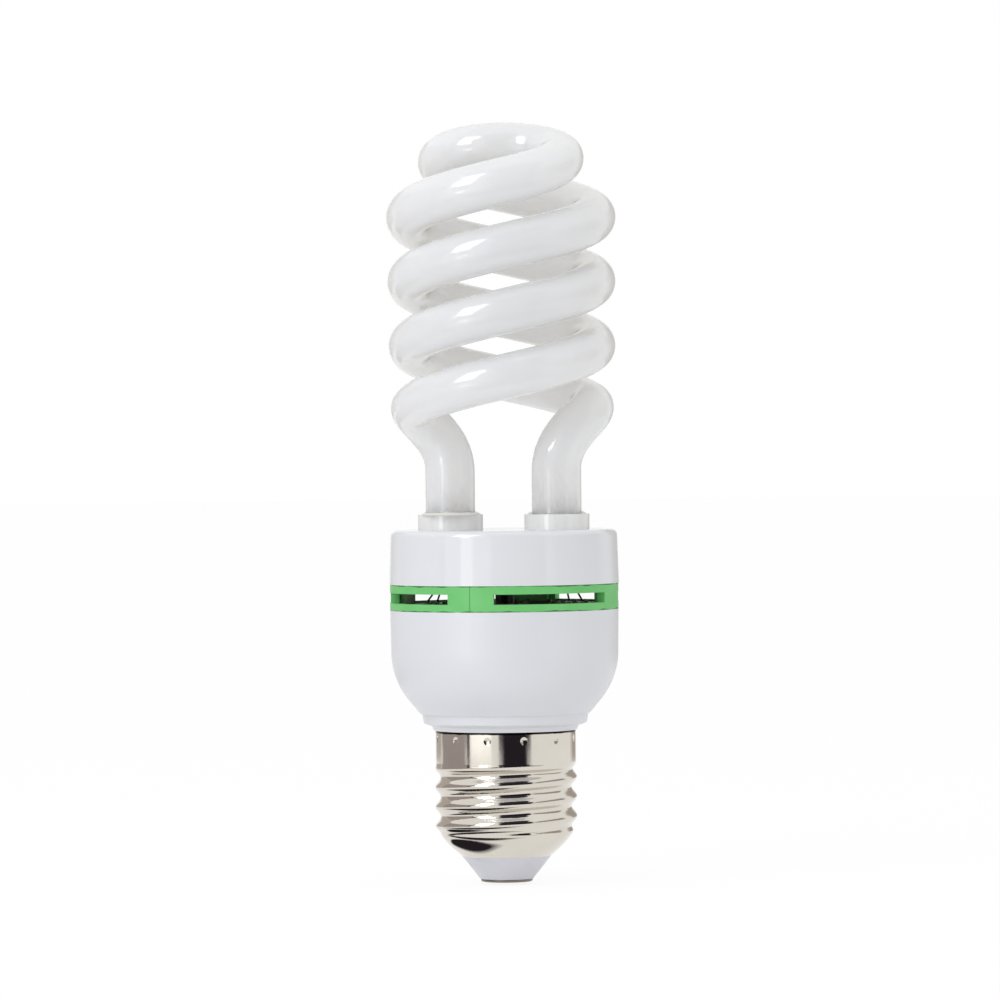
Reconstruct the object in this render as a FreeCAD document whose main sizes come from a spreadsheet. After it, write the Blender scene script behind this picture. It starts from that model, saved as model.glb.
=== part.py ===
import FreeCAD
import Part
import Sketcher

import math
import operator
import os
from types import SimpleNamespace

from FreeCAD import Placement, Rotation, Vector

# Spiral energy saving lamp with an E27 cap, in millimetres.
# The origin is the middle of the centre contact's face, the cap points down and the glass coil up.
# The photographed side faces -Y and its right-hand side is +X.

SIZES = {
    # Electrical cap
    "contact_radius": 4.8,
    "contact_height": 0.55,
    "contact_round": 0.3,
    "shank_radius": 1.6,
    "shank_wall": 0.35,
    "shank_length": 6.6,
    "insulator_foot_radius": 4.95,
    "insulator_height": 4.25,
    "insulator_lip_overlap": 0.45,
    "insulator_lip_height": 1.2,
    "rim_height": 0.5,
    "shell_rim_radius": 8.3,
    "shell_wall": 0.3,
    "shell_height": 23.3,
    "shell_bowl_height": 5.8,
    "skirt_radius": 13.0,
    "skirt_height": 5.9,
    "thread_radius": 12.65,
    "thread_depth": 1.0,
    "thread_pitch": 3.63,
    "thread_start": 3.6,
    "thread_fade": 2.0,
    "thread_crest_height": 7.3,
    "punch_radius": 0.75,
    "punch_depth": 0.18,
    "punch_drop": 1.6,
    # Lower housing
    "housing_radius": 21.15,
    "housing_height": 22.3,
    "housing_wall": 1.3,
    "knee_radius": 20.95,
    "knee_height": 9.4,
    "knee_round": 14.0,
    "cone_foot_radius": 15.75,
    "cone_foot_height": 3.1,
    "ledge_radius": 15.4,
    "ledge_foot_radius": 15.1,
    "ledge_foot_height": 1.3,
    "ledge_round": 0.5,
    "underside_radius": 13.6,
    "underside_height": 0.8,
    "flange_radius": 13.25,
    "neck_length": 5.2,
    "neck_wall": 1.3,
    "floor_height": 2.3,
    "rib_angle": 4.0,
    "rib_reach": 1.9,
    "rib_length": 7.0,
    # Slotted ring between the housing and the cover
    "ring_height": 4.8,
    "ring_wall": 1.65,
    "ring_turn": 17.3,
    "slot_angle": 66.0,
    "slot_height": 1.85,
    "slot_sill": 1.4,
    "tongue_angle": 17.0,
    "tongue_play_angle": 4.0,
    "tongue_wall": 1.1,
    "tongue_length": 3.3,
    "barb_reach": 0.4,
    "barb_height": 1.2,
    "seam_width": 0.16,
    "seam_depth": 0.14,
    # Cover that holds the glass tube
    "cover_overhang": 0.15,
    "cover_draft": 0.3,
    "cover_height": 10.0,
    "cover_wall": 1.4,
    "cover_round": 1.2,
    "spigot_length": 1.3,
    "spigot_wall": 1.1,
    "spigot_shoulder": 1.1,
    "collar_wall": 1.35,
    "collar_height": 2.8,
    # Glass tube
    "tube_radius": 4.6,
    "coil_tube_radius": 4.12,
    "dome_tube_radius": 4.37,
    "leg_spread": 9.85,
    "leg_stagger": 2.0,
    "leg_insertion": 5.8,
    "leg_height": 11.0,
    "coil_radius": 16.97,
    "coil_taper": 0.1,
    "coil_pitch": 23.77,
    "coil_height": 63.85,
    "coil_turn": 92.0,
    "coil_sweep": 617.0,
    "dome_swing": 10.7,
    "dome_rise": 7.2,
    "bend_pull_leg": 7.2,
    "bend_pull_coil": 7.2,
    "cement_wall": 1.0,
    "cement_depth": 3.2,
    # Circuit board and its joints
    "board_thickness": 1.0,
    "board_clearance": 0.3,
    "lead_radius": 0.3,
    "filament_lead_radius": 0.17,
    "solder_radius": 0.6,
    "solder_height": 0.4,
    "hairpin_radius": 1.3,
    "hairpin_flat": 0.1,
    "fit_clearance": 0.1,
    "seat_gap": 0.3,
    # Parts on the board
    "can_radius": 5.0,
    "can_height": 15.0,
    "can_drop": 12.2,
    "can_round": 0.6,
    "can_lead_pitch": 5.0,
    "core_length": 12.0,
    "core_width": 5.4,
    "core_height": 11.5,
    "core_leg": 2.0,
    "core_post_radius": 1.6,
    "bobbin_wall": 0.6,
    "bobbin_flange": 0.8,
    "bobbin_clearance": 0.15,
    "bobbin_pin_inset": 0.4,
    "winding_margin": 0.35,
    "toroid_radius": 4.6,
    "toroid_bore": 2.4,
    "toroid_height": 3.4,
    "toroid_wire": 0.35,
    "transistor_radius": 2.35,
    "transistor_height": 4.7,
    "transistor_flat": 1.25,
    "transistor_drop": 2.2,
    "transistor_lead_pitch": 1.9,
    "diode_radius": 1.35,
    "diode_height": 5.1,
    "trigger_radius": 0.95,
    "trigger_height": 3.9,
    "resistor_radius": 1.1,
    "resistor_height": 6.2,
    "resistor_cap_radius": 1.3,
    "resistor_cap_height": 1.3,
    "film_length": 8.2,
    "film_width": 3.8,
    "film_height": 8.0,
    "film_round": 0.7,
    "film_lead_pitch": 6.8,
    "disc_radius": 3.0,
    "disc_thickness": 2.2,
    "disc_round": 0.7,
    "disc_lead_pitch": 4.0,
    "filter_radius": 2.3,
    "filter_waist": 1.3,
    "filter_height": 7.5,
    "filter_flange": 0.9,
    "filter_lead_pitch": 2.6,
    "thermistor_radius": 1.75,
    "thermistor_height": 2.6,
    "thermistor_lead_pitch": 2.0,
    "fuse_radius": 1.5,
    "fuse_height": 7.0,
    "fuse_drop": 26.0,
    "supply_wire_radius": 0.55,
    "supply_wire_bend": 1.6,
    "supply_wire_straight": 2.5,
    "clamp_bend": 1.4,
    "clamp_drop": 1.4,
}

# Where each part stands, as x and y from the axis on a board of 19.2 radius, and the turn of its leads
# in degrees. On a larger or smaller board they move out or in with its edge.
PLACED_RADIUS = 19.2
CAN_PLACE = (-1.6, -0.6, 0)
CHOKE_PLACE = (7.4, 0.0, 90)
TOROID_PLACE = (-4.4, 9.6, 0)
TRANSISTOR_PLACES = ((-12.6, 2.6, 90), (-12.6, -5.4, 90))
DIODE_PLACES = ((-10.6, -11.2, 80), (-6.9, -13.6, 80), (-2.4, -15.1, 120), (2.4, -15.1, 50))
TRIGGER_PLACE = (-7.4, -7.0, 0)
RESISTOR_PLACES = ((4.4, 10.2, 90), (2.2, 14.8, 150), (-13.4, 7.4, -30))
FILM_PLACES = ((10.8, 10.8, -45), (10.8, -10.8, 45))
DISC_PLACE = (1.6, -10.2, 0)
FILTER_PLACE = (15.2, 0.2, 90)
THERMISTOR_PLACE = (0.1, -7.2, 0)

# The supply wires also keep inside the neck, drawn here with a bore of 11.3 radius.
FUSE_PLACE = (3.3, -7.5)
NEUTRAL_PLACE = (-8.7, 2.6)
PLACED_NECK = 11.3

# Each filament lead's shift from its leg's middle, and its place on the board, left leg first.
FILAMENT_LEADS = (
    (((0.0, 1.0), (-14.2, 1.6, 0)), ((-0.6, -1.0), (-12.4, -1.6, 0))),
    (((0.9, 0.8), (12.0, -3.2, 0)), ((1.4, -1.4), (14.4, -4.6, 0))),
)

TURN = 360.0
SLOT_COUNT = 4
PUNCH_COUNT = 12
THREAD_STEPS = 10
COIL_STEP = 60.0
BEND_SHARES = (0.3, 0.55, 0.8)
DOME_SHARES = (0.25, 0.5, 0.75)
WINDING_ANGLES = (20, 140, 260)
WINDING_STEP = 24
SEWING = 1e-6
FINE = 1e-4
FRONT = -90.0


# A number that remembers the sheet expression it is worked out from.
class Size:
    def __init__(self, number, text):
        self.number = number
        self.text = text

    def __add__(self, other):
        return combined(operator.add, "+", self, other)

    def __radd__(self, other):
        return combined(operator.add, "+", other, self)

    def __sub__(self, other):
        return combined(operator.sub, "-", self, other)

    def __rsub__(self, other):
        return combined(operator.sub, "-", other, self)

    def __mul__(self, other):
        return combined(operator.mul, "*", self, other)

    def __rmul__(self, other):
        return combined(operator.mul, "*", other, self)

    def __truediv__(self, other):
        return combined(operator.truediv, "/", self, other)

    def __neg__(self):
        return Size(0.0, "0") - self


def as_size(value):
    return value if isinstance(value, Size) else Size(float(value), f"({float(value):.6f})")


def combined(work, sign, first, second):
    first = as_size(first)
    second = as_size(second)
    return Size(work(first.number, second.number), f"({first.text} {sign} {second.text})")


def root(value):
    return Size(math.sqrt(value.number), f"sqrt({value.text})")


def smaller(first, second):
    return Size(min(first.number, second.number), f"min({first.text}; {second.text})")


doc = FreeCAD.newDocument("SpiralLamp")
sheet = doc.addObject("Spreadsheet::Sheet", "Sizes")
for row, (alias, number) in enumerate(SIZES.items(), start=1):
    sheet.set(f"A{row}", alias)
    sheet.set(f"B{row}", str(number))
    sheet.setAlias(f"B{row}", alias)
doc.recompute()

size = SimpleNamespace(**{alias: Size(float(sheet.get(alias)), f"Sizes.{alias}") for alias in SIZES})
nodes = []

# Heights above the centre contact's face
shell_bottom = size.contact_height + size.insulator_height
shell_top = shell_bottom + size.shell_height
housing_bottom = shell_top
housing_top = housing_bottom + size.housing_height
ring_top = housing_top + size.ring_height
cover_top = ring_top + size.cover_height
plate_bottom = cover_top - size.cover_wall
leg_bottom = plate_bottom - size.leg_insertion
leg_straight = size.leg_height + size.cover_wall + size.leg_insertion
board_top = housing_top + size.board_thickness
hang_top = housing_top - size.seat_gap

# The housing, ring and cover share one radius, which the cover overhangs a little
ring_bore = size.housing_radius - size.ring_wall
cover_radius = size.housing_radius + size.cover_overhang
board_radius = ring_bore - size.board_clearance
board_spread = board_radius / PLACED_RADIUS

# The housing's side leans in by this much for each millimetre down
side_slope = (size.housing_radius - size.knee_radius) / (size.housing_height - size.knee_height)


def bind(item, name, value):
    if isinstance(value, Size):
        item.setExpression(name, value.text)
    else:
        setattr(item, name, value)


def place(item, spot, rotation=None):
    item.Placement = Placement(Vector(*(as_size(value).number for value in spot)), rotation or Rotation())
    for axis, value in zip("xyz", spot):
        if isinstance(value, Size):
            item.setExpression(f"Placement.Base.{axis}", value.text)
    return item


def primitive(kind, name, spot, rotation=None, **values):
    item = doc.addObject(f"Part::{kind}", name)
    for key, value in values.items():
        bind(item, key, value)
    return place(item, spot, rotation)


def cylinder(name, radius, height, spot, rotation=None):
    return primitive("Cylinder", name, spot, rotation, Radius=radius, Height=height)


def group(name, items):
    item = doc.addObject("Part::Compound", name)
    item.Links = items
    return item


def fused(name, items):
    item = doc.addObject("Part::MultiFuse", name)
    item.Shapes = items
    return item


def cut(name, base, tool):
    item = doc.addObject("Part::Cut", name)
    item.Base = base
    item.Tool = tool
    return item


def rounded(name, base, radius, chosen):
    doc.recompute()
    edges = [index for index, edge in enumerate(base.Shape.Edges, start=1) if chosen(edge)]
    item = doc.addObject("Part::Fillet", name)
    item.Base = base
    item.Edges = [(index, radius.number, radius.number) for index in edges]
    return item


def computed(name, shape):
    item = doc.addObject("Part::Feature", name)
    item.Shape = shape
    return item


def keep(item, label):
    item.Label = label
    nodes.append(item)
    return item


def new_body(name):
    return doc.addObject("PartDesign::Body", name)


def new_sketch(body, name, role):
    sketch = body.newObject("Sketcher::SketchObject", name)
    plane = next(item for item in body.Origin.OriginFeatures if item.Role == role)
    sketch.AttachmentSupport = [(plane, "")]
    sketch.MapMode = "FlatFace"
    return sketch


def unit(vector):
    return Vector(vector) * (1.0 / vector.Length)


# Ties one point of a sketch to its coordinates.
def pin(sketch, geometry, end, spot):
    for kind, axis, value in zip(("DistanceX", "DistanceY"), (-2, -1), spot):
        value = as_size(value)
        if abs(value.number) < 1e-9:
            sketch.addConstraint(Sketcher.Constraint("PointOnObject", geometry, end, axis))
        else:
            index = sketch.addConstraint(Sketcher.Constraint(kind, -1, 1, geometry, end, value.number))
            sketch.setExpression(f"Constraints[{index}]", value.text)


# Draws a closed outline from its corners, each x, y and, where it is rounded, a radius.
def draw_outline(sketch, corners):
    count = len(corners)
    points = [Vector(as_size(corner[0]).number, as_size(corner[1]).number, 0) for corner in corners]
    arrivals = list(points)
    departures = list(points)
    arcs = {}
    for index, corner in enumerate(corners):
        if len(corner) < 3:
            continue
        here = points[index]
        back = unit(points[index - 1] - here)
        ahead = unit(points[(index + 1) % count] - here)
        half = back.getAngle(ahead) / 2
        radius = as_size(corner[2]).number
        arrivals[index] = here + back * (radius / math.tan(half))
        departures[index] = here + ahead * (radius / math.tan(half))
        centre = here + unit(back + ahead) * (radius / math.sin(half))
        left_turn = back.cross(ahead).z < 0
        ends = (arrivals[index], departures[index]) if left_turn else (departures[index], arrivals[index])
        angles = [math.atan2(end.y - centre.y, end.x - centre.x) for end in ends]
        if angles[1] < angles[0]:
            angles[1] += 2 * math.pi
        arcs[index] = (Part.ArcOfCircle(Part.Circle(centre, Vector(0, 0, 1), radius), *angles), left_turn)
    lines = []
    for index in range(count):
        side = Part.LineSegment(departures[index], arrivals[(index + 1) % count])
        lines.append(sketch.addGeometry(side))
    for index, corner in enumerate(corners):
        arriving = lines[index - 1]
        leaving = lines[index]
        if index not in arcs:
            sketch.addConstraint(Sketcher.Constraint("Coincident", arriving, 2, leaving, 1))
            pin(sketch, leaving, 1, corner[:2])
            continue
        shape, left_turn = arcs[index]
        arc = sketch.addGeometry(shape)
        first, last = (1, 2) if left_turn else (2, 1)
        sketch.addConstraint(Sketcher.Constraint("Tangent", arriving, 2, arc, first))
        sketch.addConstraint(Sketcher.Constraint("Tangent", arc, last, leaving, 1))
        radius = as_size(corner[2])
        bound = sketch.addConstraint(Sketcher.Constraint("Radius", arc, radius.number))
        sketch.setExpression(f"Constraints[{bound}]", radius.text)
        point = sketch.addGeometry(Part.Point(points[index]), True)
        sketch.addConstraint(Sketcher.Constraint("PointOnObject", point, 1, arriving))
        sketch.addConstraint(Sketcher.Constraint("PointOnObject", point, 1, leaving))
        pin(sketch, point, 1, corner[:2])


# Turns an outline of radius and height about the axis, all round or over an angle about its middle.
def revolve(body, name, corners, removes=False, angle=None, turn=0.0):
    sketch = new_sketch(body, f"{name}_outline", "XZ_Plane")
    sketch.AttachmentOffset = Placement(Vector(), Rotation(Vector(0, 1, 0), turn))
    draw_outline(sketch, corners)
    feature = body.newObject("PartDesign::Groove" if removes else "PartDesign::Revolution", name)
    feature.Profile = sketch
    feature.ReferenceAxis = (sketch, ["V_Axis"])
    feature.Angle = TURN
    if angle is not None:
        feature.Midplane = True
        feature.setExpression("Angle", angle.text)
    return feature


def repeat_round(body, name, feature, count):
    doc.recompute()
    axis = next(item for item in body.Origin.OriginFeatures if item.Role == "Z_Axis")
    pattern = body.newObject("PartDesign::PolarPattern", name)
    pattern.Originals = [feature]
    pattern.Axis = (axis, [""])
    pattern.Angle = TURN
    pattern.Occurrences = count
    body.Tip = pattern
    return pattern


def circles(body, name, height, spots):
    sketch = new_sketch(body, name, "XY_Plane")
    sketch.setExpression("AttachmentOffset.Base.z", height.text)
    for x, y, radius in spots:
        radius = as_size(radius)
        centre = Vector(as_size(x).number, as_size(y).number, 0)
        circle = sketch.addGeometry(Part.Circle(centre, Vector(0, 0, 1), radius.number))
        pin(sketch, circle, 3, (x, y))
        bound = sketch.addConstraint(Sketcher.Constraint("Radius", circle, radius.number))
        sketch.setExpression(f"Constraints[{bound}]", radius.text)
    return sketch


def pad(body, name, sketch, length):
    feature = body.newObject("PartDesign::Pad", name)
    feature.Profile = sketch
    feature.setExpression("Length", length.text)
    return feature


def pocket(body, name, sketch, length, midplane=False):
    feature = body.newObject("PartDesign::Pocket", name)
    feature.Profile = sketch
    feature.Midplane = midplane
    feature.setExpression("Length", length.text)
    return feature


# A spot on the board, shifted along and across a part's row of leads.
def beside(place_on_board, along=0.0, across=0.0):
    x, y, turn = place_on_board
    cosine = math.cos(math.radians(turn))
    sine = math.sin(math.radians(turn))
    return (board_spread * x + (along * cosine - across * sine),
            board_spread * y + (along * sine + across * cosine))


def numbers(spot):
    return [as_size(value).number for value in spot]


def upright(turn):
    return Rotation(Vector(0, 0, 1), turn)


# Centre contact: a pressed disc with a hollow shank
contact = new_body("centre_contact")
shank_top = size.contact_height + size.shank_length
shank_bore = size.shank_radius - size.shank_wall
revolve(contact, "contact_disc", (
    (0.0, 0.0),
    (size.contact_radius, 0.0, size.contact_round),
    (size.contact_radius, size.contact_height),
    (size.shank_radius, size.contact_height),
    (size.shank_radius, shank_top),
    (shank_bore, shank_top),
    (shank_bore, size.contact_height),
    (0.0, size.contact_height),
))
keep(contact, "centre_contact")

# Insulator: a cone under the shell's rim, a neck through it and a lip above it
insulator = new_body("base_insulator")
bore = size.shank_radius + size.fit_clearance
rim_bore = size.shell_rim_radius - size.shell_wall
rim_top = shell_bottom + size.rim_height
insulator_neck = rim_bore - size.fit_clearance
insulator_lip = rim_bore + size.insulator_lip_overlap
insulator_top = rim_top + size.insulator_lip_height
revolve(insulator, "insulator_cone", (
    (bore, size.contact_height),
    (size.insulator_foot_radius, size.contact_height),
    (size.shell_rim_radius, shell_bottom),
    (insulator_neck, shell_bottom),
    (insulator_neck, rim_top),
    (insulator_lip, rim_top),
    (insulator_lip, insulator_top),
    (bore, insulator_top),
))
keep(insulator, "base_insulator")


def ramp(share):
    share = min(1.0, max(0.0, share))
    return share * share * (3 - 2 * share)


# Rolled thread: each level section is a circle whose centre circles the axis once a pitch,
# so every upright section shows the rounded crests and roots.
def thread_section(rise, inset):
    threaded = size.shell_height.number - size.skirt_height.number
    mean = size.thread_radius.number
    fade = size.thread_fade.number
    bowl = math.sin(math.pi / 2 * min(1.0, rise / size.shell_bowl_height.number))
    radius = size.shell_rim_radius.number + (mean - size.shell_rim_radius.number) * bowl
    radius += (size.skirt_radius.number - mean) * ramp((rise - threaded + fade) / fade)
    depth = size.thread_depth.number / 2
    depth *= ramp((rise - size.thread_start.number) / fade) * ramp((threaded - rise) / fade)
    turn = 2 * math.pi * (rise - size.thread_crest_height.number) / size.thread_pitch.number
    centre = Vector(depth * math.cos(turn), depth * math.sin(turn), shell_bottom.number + rise)
    return Part.Wire(Part.makeCircle(radius - inset, centre))


def shell_side(inset):
    threaded = size.shell_height.number - size.skirt_height.number
    levels = round(threaded / size.thread_pitch.number * THREAD_STEPS)
    sections = [thread_section(threaded * level / levels, inset) for level in range(levels + 1)]
    skirt_foot = Vector(0, 0, shell_bottom.number + threaded)
    skirt = Part.makeCylinder(size.skirt_radius.number - inset, size.skirt_height.number, skirt_foot)
    return Part.makeLoft(sections, False).Faces + [skirt.Faces[0]]


def shell_edge(radius, height):
    outer = Part.Wire(Part.makeCircle(radius, Vector(0, 0, height)))
    inner = Part.Wire(Part.makeCircle(radius - size.shell_wall.number, Vector(0, 0, height)))
    return Part.Face([outer, inner])


# Screw shell: a thin pressed shell with a ring of punch marks that hold it on the neck
def screw_shell():
    faces = shell_side(0.0) + shell_side(size.shell_wall.number)
    faces.append(shell_edge(size.shell_rim_radius.number, shell_bottom.number))
    faces.append(shell_edge(size.skirt_radius.number, shell_top.number))
    skin = Part.makeCompound(faces)
    skin.sewShape()
    shell = Part.Solid(skin.Shells[0])
    shell.fix(SEWING, SEWING, SEWING)
    depth = size.punch_depth.number
    ball = (size.punch_radius.number ** 2 + depth ** 2) / (2 * depth)
    reach = size.skirt_radius.number - depth + ball
    height = shell_top.number - size.punch_drop.number
    marks = []
    for index in range(PUNCH_COUNT):
        angle = math.radians(FRONT + TURN / PUNCH_COUNT * (index + 0.5))
        marks.append(Part.makeSphere(ball, Vector(reach * math.cos(angle), reach * math.sin(angle), height)))
    return shell.cut(marks)


keep(computed("screw_shell", screw_shell()), "screw_shell")

# Lower housing: one wall that runs from the neck over the ledge and cone to the rim
housing = new_body("lower_housing")
neck_radius = size.skirt_radius - size.shell_wall - size.fit_clearance
neck_bore = neck_radius - size.neck_wall
neck_bottom = shell_top - size.neck_length
knee_height = housing_bottom + size.knee_height
foot_height = housing_bottom + size.cone_foot_height
floor_height = housing_bottom + size.floor_height
cone_slope = (size.knee_radius - size.cone_foot_radius) / (size.knee_height - size.cone_foot_height)
cone_inset = size.housing_wall * root(cone_slope * cone_slope + 1.0)
wall_bore = size.housing_radius - size.housing_wall
knee_bore = size.knee_radius - size.housing_wall
knee_rise = (knee_bore - size.cone_foot_radius + cone_inset) / cone_slope
floor_reach = size.cone_foot_radius - cone_inset - (foot_height - floor_height) * cone_slope
revolve(housing, "housing_wall", (
    (neck_bore, neck_bottom),
    (neck_radius, neck_bottom),
    (neck_radius, housing_bottom),
    (size.flange_radius, housing_bottom),
    (size.underside_radius, housing_bottom + size.underside_height),
    (size.ledge_foot_radius, housing_bottom + size.ledge_foot_height, size.ledge_round),
    (size.ledge_radius, foot_height),
    (size.cone_foot_radius, foot_height),
    (size.knee_radius, knee_height, size.knee_round),
    (size.housing_radius, housing_top),
    (wall_bore, housing_top),
    (knee_bore, foot_height + knee_rise, size.knee_round - size.housing_wall),
    (floor_reach, floor_height),
    (neck_bore, floor_height),
))
wall_middle = wall_bore + size.housing_wall / 2
rib_face = wall_bore - size.rib_reach
rib_lean = side_slope * size.rib_length
rib = revolve(housing, "board_rib", (
    (rib_face - rib_lean, housing_top - size.rib_length),
    (wall_middle - rib_lean, housing_top - size.rib_length),
    (wall_middle, housing_top),
    (rib_face, housing_top),
), angle=size.rib_angle, turn=TURN / SLOT_COUNT / 2)
repeat_round(housing, "board_ribs", rib, SLOT_COUNT)
recess_low = size.tongue_length + size.fit_clearance
recess_high = size.tongue_length - size.barb_height - size.fit_clearance
recess_mouth = wall_bore - size.fit_clearance
recess_back = wall_bore + size.barb_reach + size.fit_clearance
catch = revolve(housing, "barb_recess", (
    (recess_mouth - side_slope * recess_low, housing_top - recess_low),
    (recess_back - side_slope * recess_low, housing_top - recess_low),
    (recess_back - side_slope * recess_high, housing_top - recess_high),
    (recess_mouth - side_slope * recess_high, housing_top - recess_high),
), removes=True, angle=size.tongue_angle + size.tongue_play_angle)
repeat_round(housing, "barb_recesses", catch, SLOT_COUNT)
housing.Placement.Rotation = upright(FRONT - size.ring_turn.number)
keep(housing, "lower_housing")

# Vent ring: four long slots, the bridges between them, and a snap tongue under each bridge
ring = new_body("vent_ring")
tongue_bore = ring_bore - size.tongue_wall
tongue_face = wall_bore - size.fit_clearance
tongue_bottom = housing_top - size.tongue_length
tongue_lean = side_slope * size.tongue_length
barb_lean = side_slope * (size.tongue_length - size.barb_height)
barb_top = tongue_bottom + size.barb_height
slot_bottom = housing_top + size.slot_sill
slot_top = slot_bottom + size.slot_height
revolve(ring, "ring_band", (
    (ring_bore, housing_top),
    (size.housing_radius, housing_top),
    (size.housing_radius, ring_top),
    (ring_bore, ring_top),
))
tongue = revolve(ring, "snap_tongue", (
    (tongue_bore - tongue_lean, tongue_bottom),
    (tongue_face - tongue_lean, tongue_bottom),
    (tongue_face - barb_lean + size.barb_reach, barb_top),
    (tongue_face - barb_lean, barb_top),
    (tongue_face, housing_top),
    (ring_bore + size.ring_wall / 2, housing_top),
    (ring_bore + size.ring_wall / 2, slot_top),
    (tongue_bore, slot_top),
    (tongue_bore, housing_top),
), angle=size.tongue_angle)
repeat_round(ring, "snap_tongues", tongue, SLOT_COUNT)
slot = revolve(ring, "vent_slot", (
    (tongue_bore, slot_bottom),
    (size.housing_radius + size.ring_wall, slot_bottom),
    (size.housing_radius + size.ring_wall, slot_top),
    (tongue_bore, slot_top),
), removes=True, angle=size.slot_angle, turn=TURN / SLOT_COUNT / 2)
repeat_round(ring, "vent_slots", slot, SLOT_COUNT)
revolve(ring, "parting_seam", (
    (size.housing_radius - size.seam_depth, housing_top),
    (size.housing_radius + size.seam_depth, housing_top),
    (size.housing_radius + size.seam_depth, ring_top),
    (size.housing_radius - size.seam_depth, ring_top),
), removes=True, angle=size.seam_width / size.housing_radius * (180.0 / math.pi))
ring.Placement.Rotation = upright(FRONT - size.ring_turn.number)
keep(ring, "vent_ring")

# Cover: a shallow cap with a spigot into the ring and a collar round each leg of the tube
cover = new_body("tube_holder_cover")
spigot_face = ring_bore - size.fit_clearance
spigot_bore = spigot_face - size.spigot_wall
spigot_bottom = ring_top - size.spigot_length
shoulder_foot = ring_top + size.spigot_wall
cover_bore = cover_radius - size.cover_wall
leg_bore = size.tube_radius + size.fit_clearance
collar_radius = leg_bore + size.collar_wall
revolve(cover, "cover_cap", (
    (0.0, plate_bottom),
    (cover_bore - size.cover_draft, plate_bottom),
    (cover_bore, shoulder_foot + size.spigot_shoulder),
    (spigot_bore, shoulder_foot),
    (spigot_bore, spigot_bottom),
    (spigot_face, spigot_bottom),
    (spigot_face, ring_top),
    (cover_radius, ring_top),
    (cover_radius - size.cover_draft, cover_top, size.cover_round),
    (0.0, cover_top),
))
left_leg = (-size.leg_spread, size.leg_stagger)
right_leg = (size.leg_spread, -size.leg_stagger)
collars = circles(cover, "collar_outline", plate_bottom, [(*leg, collar_radius) for leg in (left_leg, right_leg)])
pad(cover, "leg_collars", collars, size.cover_wall + size.collar_height)
doc.recompute()
bores = circles(cover, "bore_outline", cover_top, [(*leg, leg_bore) for leg in (left_leg, right_leg)])
pocket(cover, "leg_bores", bores, 2.0 * (size.cover_wall + size.collar_height), midplane=True)
keep(cover, "tube_holder_cover")


# A spot and heading on the coil, from the angle turned down from its upper end
def coil_point(turned):
    angle = math.radians(size.coil_turn.number - turned)
    radius = size.coil_radius.number - size.coil_taper.number * turned / TURN
    height = cover_top.number + size.coil_height.number - size.coil_pitch.number * turned / TURN
    return Vector(radius * math.cos(angle), radius * math.sin(angle), height)


# A spot on the dome, where the coil swings in to the axis on half an ellipse and levels out
def dome_point(share):
    half = size.coil_radius.number / 2
    swing = size.dome_swing.number
    start = math.radians(size.coil_turn.number)
    outward = Vector(math.cos(start), math.sin(start), 0)
    onward = Vector(-math.sin(start), math.cos(start), 0)
    climb = size.coil_pitch.number * swing / (4 * half)
    rise = climb * (share ** 3 - 2 * share ** 2 + share)
    rise += size.dome_rise.number * (3 * share ** 2 - 2 * share ** 3)
    height = cover_top.number + size.coil_height.number + rise
    turned = math.pi * share
    return outward * (half + half * math.cos(turned)) + onward * (swing * math.sin(turned)) + Vector(0, 0, height)


# The bend that lifts a leg out to the coil
def bend_point(share, foot, pull_foot, pull_head, head):
    rest = 1 - share
    return (foot * rest ** 3 + pull_foot * (3 * rest * rest * share)
            + pull_head * (3 * rest * share * share) + head * share ** 3)


def heading(curve, where, step):
    return unit(curve(where + step) - curve(where - step))


# The corners of two arcs that leave one spot along its heading and reach the next along its own
def arc_corners(start, start_heading, end, end_heading):
    span = end - start
    total = start_heading + end_heading
    spread = 2 * (1 - start_heading.dot(end_heading))
    reach = (math.sqrt(span.dot(total) ** 2 + spread * span.dot(span)) - span.dot(total)) / spread
    return start + start_heading * reach, end - end_heading * reach


def tangent_arc(start, corner, end):
    middle = (start + end) * 0.5
    turn = math.atan2((corner - middle).Length, (end - start).Length / 2)
    crown = middle + (corner - middle) * (math.tan(turn / 2) / math.tan(turn))
    return Part.Arc(start, crown, end).toShape()


# A circle square to the path, started from the given side
def ring_round(spot, way, side, radius):
    start = unit(side - way * side.dot(way))
    circle = Part.Circle(Vector(), Vector(0, 0, 1), radius).toShape()
    circle.Placement = Placement(spot, Rotation(start, way.cross(start), way, "ZXY"))
    return Part.Wire([circle])


# A stretch of tube along spots with headings, from one radius to the other. Both circles start from
# the same side as the path carries it, so that the stretch doesn't twist. A level one keeps it level.
def stretch(path, first_radius, last_radius, level=False):
    up = Vector(0, 0, 1)
    first_side = unit(up.cross(path[0][1])) if level else Vector(1, 0, 0)
    last_side = first_side
    edges = []
    for (start, start_heading), (end, end_heading) in zip(path, path[1:]):
        first, second = arc_corners(start, start_heading, end, end_heading)
        joint = (first + second) * 0.5
        joint_heading = unit(second - first)
        edges += [tangent_arc(start, first, joint), tangent_arc(joint, second, end)]
        last_side = Rotation(start_heading, joint_heading).multVec(last_side)
        last_side = Rotation(joint_heading, end_heading).multVec(last_side)
    pipe = Part.BRepOffsetAPI.MakePipeShell(Part.Wire(edges))
    if level:
        pipe.setBiNormalMode(up)
        last_side = unit(up.cross(path[-1][1]))
    pipe.add(ring_round(*path[0], first_side, first_radius))
    pipe.add(ring_round(*path[-1], last_side, last_radius))
    pipe.build()
    pipe.makeSolid()
    return pipe.shape()


def on_coil(turned):
    return coil_point(turned), heading(coil_point, turned, -FINE)


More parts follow.
